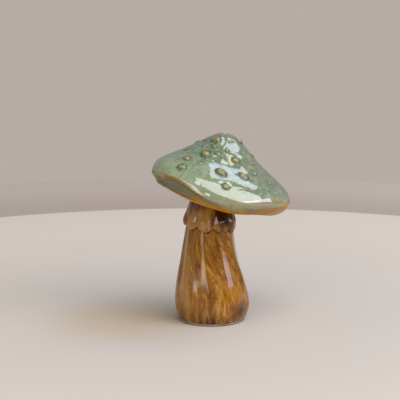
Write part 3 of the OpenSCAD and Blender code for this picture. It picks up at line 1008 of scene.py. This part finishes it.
def puffLobes(mesh):
    points, normals = readPoints(mesh), readNormals(mesh)
    bearing, height = stemPolar(points)
    turn = np.radians(bearing)
    lobe = np.abs(np.cos(np.radians(skirtLook["lobes"] * (bearing - skirtLook["phase"]) / 2)))
    share = hump(height, skirtLook["puffHeight"], skirtLook["puffReach"])
    size = skirtLook["puff"] * around(skirtLook["unevenPuff"], bearing)
    rise = share * (size * easeStep(*skirtLook["puffEdge"], lobe) - skirtLook["web"] * (1 - lobe) ** 2)
    outwards = np.stack([np.cos(turn), np.sin(turn), np.zeros(len(points))], 1)
    outside = np.clip((normals * outwards).sum(1), 0, 1)
    writePoints(mesh, points + outwards * (rise * outside)[:, None] * mm)


skirtMesh = smoothMesh(nodeCage("skirt", skirtLook["sharpAngle"]), "skirtFrill", stemLook["levels"])
puffLobes(skirtMesh)
sculptStrokes(skirtMesh, stemLook["skirtDepth"], fineness=0.5)
skirtPoints = readPoints(skirtMesh)
bulge = bulgeMask(skirtMesh, 2)
neckRise = (skirtPoints[:, 2] / mm - skirtLook["neckFrom"]) / skirtLook["neckReach"]
neckPoolAndShade = skirtLook["neckShare"] * np.clip(neckRise, 0, 1)
skirtPoolAndShade = neckPoolAndShade + pooled(skirtPoints, skirtPoolsAndShade) + np.clip(-bulge * 3, 0, 0.6)
writeMask(skirtMesh, "pool", np.clip(skirtPoolAndShade, 0, 1.5))
writeMask(skirtMesh, "thin", np.clip(bulge * 0.8, 0, 0.7) + pooled(skirtPoints, skirtThinsAndHighlight))
finishPiece(skirtMesh, "skirtFrill", ["skirt"], brownGlaze)
skirtFaces = [tuple(f.vertices) for f in skirtMesh.polygons]
skirtTree = BVHTree.FromPolygons([v.co for v in skirtMesh.vertices], skirtFaces)
print("skirt done:", len(skirtMesh.polygons), "faces")


# Stem, after the skirt because a line of painted shade is held under the skirt's edge

stemGlaze = {
    "footPool": 4.0,  # mm up the foot that the glaze ran together, with drips of uneven length
    "dripSize": 9,
    "dripReach": 9,
    "footReach": 5,
    "edgeGap": (0.4, 1.5),  # mm from the skirt over which its dark line fades
    "edgeTop": 68,
    "edgeShade": {90: 0.5, 215: 0.5, 240: 0.7, 258: 1.2, 276: 0.5, 300: 0.6, 318: 0.9, 340: 0.5},
}
# Dark and pale places on the stem: bearing and height, reach of each in degrees and mm, and amount. The dark
# places at bearings 274 and 284 are painted shade and the pale place at bearing 222 is painted light, against
# the lamps, which light the front more than the left
stemPoolsAndShade = [
    (322, 10, 20, 7, 0.8), (285, 3, 60, 4, 0.2), (300, 34, 10, 12, 0.35),
    (274, 22, 16, 20, 0.40), (284, 52, 14, 14, 0.40), (338, 40, 16, 30, 0.25),
]
stemThinsAndLight = [(222, 22, 26, 26, 0.55), (256, 36, 9, 9, 0.5), (208, 55, 20, 20, 0.35)]

stemMesh = smoothMesh(nodeCage("stem"), "stemCasting", stemLook["levels"])
sculptStrokes(stemMesh, stemLook["strokeDepth"], fineness=1.0)
stemPoints = readPoints(stemMesh)
bulge = bulgeMask(stemMesh, 2)
stemBearing, stemHeight = stemPolar(stemPoints)
runs = stemFlow(stemPoints)[:, :2] * stemGlaze["dripSize"]
drips = stemGlaze["dripReach"] * np.array([noise.noise(Vector((x, y, 0.4))) for x, y in runs])
footPool = 0.5 * np.clip((stemGlaze["footPool"] + drips - stemHeight) / stemGlaze["footReach"], 0, 1.2)
skirtGap = np.array([skirtTree.find_nearest(Vector(p))[3] for p in stemPoints]) / mm
edgeLine = (1 - easeStep(*stemGlaze["edgeGap"], skirtGap)) * (stemHeight < stemGlaze["edgeTop"])
# painted shade along the skirt's lower edge
paintedEdgeShade = around(stemGlaze["edgeShade"], stemBearing) * edgeLine
stemPoolAndShade = footPool + paintedEdgeShade + pooled(stemPoints, stemPoolsAndShade) + np.clip(-bulge * 2, 0, 0.3)
writeMask(stemMesh, "pool", np.clip(stemPoolAndShade, 0, 1.5))
writeMask(stemMesh, "thin", np.clip(bulge * 1.2, 0, 0.6) + pooled(stemPoints, stemThinsAndLight))
finishPiece(stemMesh, "stemCasting", ["stem"], brownGlaze)
print("stem done:", len(stemMesh.polygons), "faces")


# Foot

footLook = {
    "around": 128,
    "bevel": 0.8,  # these are in mm: the radii and heights of the disc's section
    "bevelFoot": 0.12,
    "recess": 15.0,
    "recessDepth": 0.8,
    "vent": 5.0,
    "step": 19.05,
    "stepFoot": 1.6,
}


def spunFoot():
    low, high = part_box("base_disc")
    edge, top = high.x / mm, high.z / mm
    profile = [
        (footLook["vent"], footLook["recessDepth"]),
        (footLook["recess"] - footLook["recessDepth"], footLook["recessDepth"]),
        (footLook["recess"], 0),
        (edge - footLook["bevel"], 0),
        (edge - footLook["bevelFoot"], footLook["bevelFoot"]),
        (edge, footLook["bevel"]),
        (edge, footLook["stepFoot"]),
        (footLook["step"], footLook["stepFoot"]),
        (footLook["step"], top),
        (footLook["vent"], top),
    ]
    disc = bmesh.new()
    corners = [disc.verts.new((r * mm, 0, z * mm)) for r, z in profile]
    edges = [disc.edges.new((corners[i], corners[(i + 1) % len(corners)])) for i in range(len(corners))]
    bmesh.ops.spin(
        disc,
        geom=corners + edges,
        cent=(0, 0, 0),
        axis=(0, 0, 1),
        angle=2 * math.pi,
        steps=footLook["around"],
        use_merge=True,
    )
    bmesh.ops.remove_doubles(disc, verts=disc.verts, dist=1e-7)
    bmesh.ops.recalc_face_normals(disc, faces=disc.faces)
    return asMesh(disc, "footDisc")


finishPiece(spunFoot(), "footDisc", ["base_disc"], footClay, sharpAngle=30)
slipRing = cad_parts["slip_ring"]
slipRing.data.materials[0] = bareClay
print("foot done")


# Floor, light and camera

studioLook = {
    "floor": (0.552, 0.514, 0.442, 1),
    # painted light: the far floor is lighter, making up for the lamps lighting it less
    "farFloorPaintedLight": (0.650, 0.588, 0.490, 1),
    "paintedBounce": (0.530, 0.452, 0.332, 1),  # painted bounce light from the amber glaze, warming the floor's shadow on the left
    "join": (0.430, 0.364, 0.300, 1),  # shade where the floor meets the wall
    "farWall": (0.512, 0.450, 0.378, 1),
    "wall": (0.465, 0.413, 0.372, 1),
    "floorRadius": 0.640,  # metres, as are all lengths here
    "floorDrop": 0.00005,
    "toFar": (0.10, 0.38),
    "toJoin": (0.434, 0.442),
    "toWall": (0.444, 0.600),
    "paintedBouncePlace": (-0.062, -0.004, 0),
    "paintedBounceReach": (0.075, 0.015),
    "room": (0.92, 0.95, 1.0, 1),
    "roomStrength": 0.24,
    "wallGloss": 0.2,  # share of the wall that a glaze mirrors
    "lampDistance": 2.2,
    "lampTarget": (0.004, -0.01, 0.085),
}


def makeFloorPaint():
    material, tree, shader = newMaterial("floorPaint")
    place = put(tree, "ShaderNodeTexCoord").outputs["Object"]
    far = put(tree, "ShaderNodeVectorMath", {"operation": "LENGTH"}, {0: place}).outputs["Value"]
    # painted light, lighter towards the far edge where the lamps light the floor less
    toFar = band(tree, far, *studioLook["toFar"])
    colour = blendColour(tree, toFar, studioLook["floor"], studioLook["farFloorPaintedLight"])
    # painted bounce light from the amber glaze, warm beside the object on the left
    gap = {0: place, 1: studioLook["paintedBouncePlace"]}
    near = put(tree, "ShaderNodeVectorMath", {"operation": "DISTANCE"}, gap).outputs["Value"]
    colour = blendColour(tree, band(tree, near, *studioLook["paintedBounceReach"]), colour, studioLook["paintedBounce"])
    colour = blendColour(tree, band(tree, far, *studioLook["toJoin"]), colour, studioLook["join"])
    colour = blendColour(tree, band(tree, far, *studioLook["toWall"]), colour, studioLook["farWall"])
    tree.links.new(colour, shader.inputs["Base Color"])
    shader.inputs["Roughness"].default_value = 0.85
    shader.inputs["Specular IOR Level"].default_value = 0.2
    return material


def addFloor():
    disc = bmesh.new()
    bmesh.ops.create_circle(disc, cap_ends=True, segments=160, radius=studioLook["floorRadius"])
    bmesh.ops.translate(disc, verts=disc.verts, vec=(0, 0, -studioLook["floorDrop"]))
    mesh = asMesh(disc, "floor")
    mesh.materials.append(makeFloorPaint())
    floor = addObject("floor", mesh)


def addRoom():
    world = bpy.data.worlds.new("room")
    bpy.context.scene.world = world
    world.use_nodes = True
    tree = world.node_tree
    tree.nodes.clear()
    rays = put(tree, "ShaderNodeLightPath")
    glossy = rays.outputs["Is Glossy Ray"]
    seen = sums(tree, "MULTIPLY_ADD", glossy, studioLook["wallGloss"], rays.outputs["Is Camera Ray"])
    wall = put(tree, "ShaderNodeBackground", None, {"Color": studioLook["wall"], "Strength": 1.0})
    air = {"Color": studioLook["room"], "Strength": studioLook["roomStrength"]}
    light = put(tree, "ShaderNodeBackground", None, air)
    both = put(tree, "ShaderNodeMixShader", None, {0: seen, 1: light.outputs[0], 2: wall.outputs[0]})
    tree.links.new(both.outputs[0], put(tree, "ShaderNodeOutputWorld").inputs[0])


# Soft boxes: bearing from the front towards the right and height, turn, half widths, all in degrees,
# then radiance and tint
softBoxes = {
    "windowFront": ((40.5, 47.2), 40, (20.8, 38), 3.4, (0.99, 0.94, 1.0)),
    "windowHigh": ((127, 61), -28, (8.5, 17), 3.2, (0.76, 0.82, 1.0)),
    "skylight": ((84, 69.5), 0, (5, 2.4), 3.6, (0.92, 0.95, 1.0)),
    "warmPane": ((80, 60), 0, (6, 5), 4.0, (1.0, 0.86, 0.55)),
    "sideStrip": ((74, 14), 0, (23, 8), 5.4, (0.58, 0.62, 1.0)),
    "frontFill": ((-28, 12), 0, (14, 8), 4.6, (1.0, 0.90, 0.80)),
    "leftWall": ((-60, 35), 0, (32, 28), 0.30, (0.95, 0.97, 1.0)),
}


def addSoftBoxes():
    distance = studioLook["lampDistance"]
    for name, (place, turn, half, level, tint) in softBoxes.items():
        bearing, height = (math.radians(angle) for angle in place)
        flat = math.cos(height)
        away = Vector((math.sin(bearing) * flat, -math.cos(bearing) * flat, math.sin(height)))
        width, length = (2 * distance * math.tan(math.radians(angle)) for angle in half)
        lamp = bpy.data.lights.new(name, "AREA")
        lamp.shape = "RECTANGLE"
        lamp.size = width
        lamp.size_y = length
        lamp.energy = level * math.pi * width * length
        lamp.color = tint
        holder = addObject(name, lamp)
        holder.visible_camera = False
        holder.location = Vector(studioLook["lampTarget"]) + away * distance
        holder.rotation_mode = "QUATERNION"
        roll = Matrix.Rotation(math.radians(turn), 4, "Z").to_quaternion()
        holder.rotation_quaternion = away.to_track_quat("Z", "Y") @ roll


# The focal length and the width in pixels give the angle of view
cameraLook = {
    "focal": 1281,
    "pixels": 400,
    "sensor": 36,
    "place": (-0.00836, -0.866, 0.2315),
    "down": 9.7,  # degrees
    "clip": (0.01, 20),
}


def addCamera():
    eye = bpy.data.cameras.new("camera")
    eye.lens = cameraLook["sensor"] * cameraLook["focal"] / cameraLook["pixels"]
    eye.sensor_width = cameraLook["sensor"]
    eye.clip_start, eye.clip_end = cameraLook["clip"]
    holder = addObject("camera", eye)
    holder.location = cameraLook["place"]
    holder.rotation_euler = (math.radians(90 - cameraLook["down"]), 0, 0)
    bpy.context.scene.camera = holder


addFloor()
addRoom()
addSoftBoxes()
addCamera()
bpy.context.scene.view_settings.view_transform = "Standard"
print("stage set")
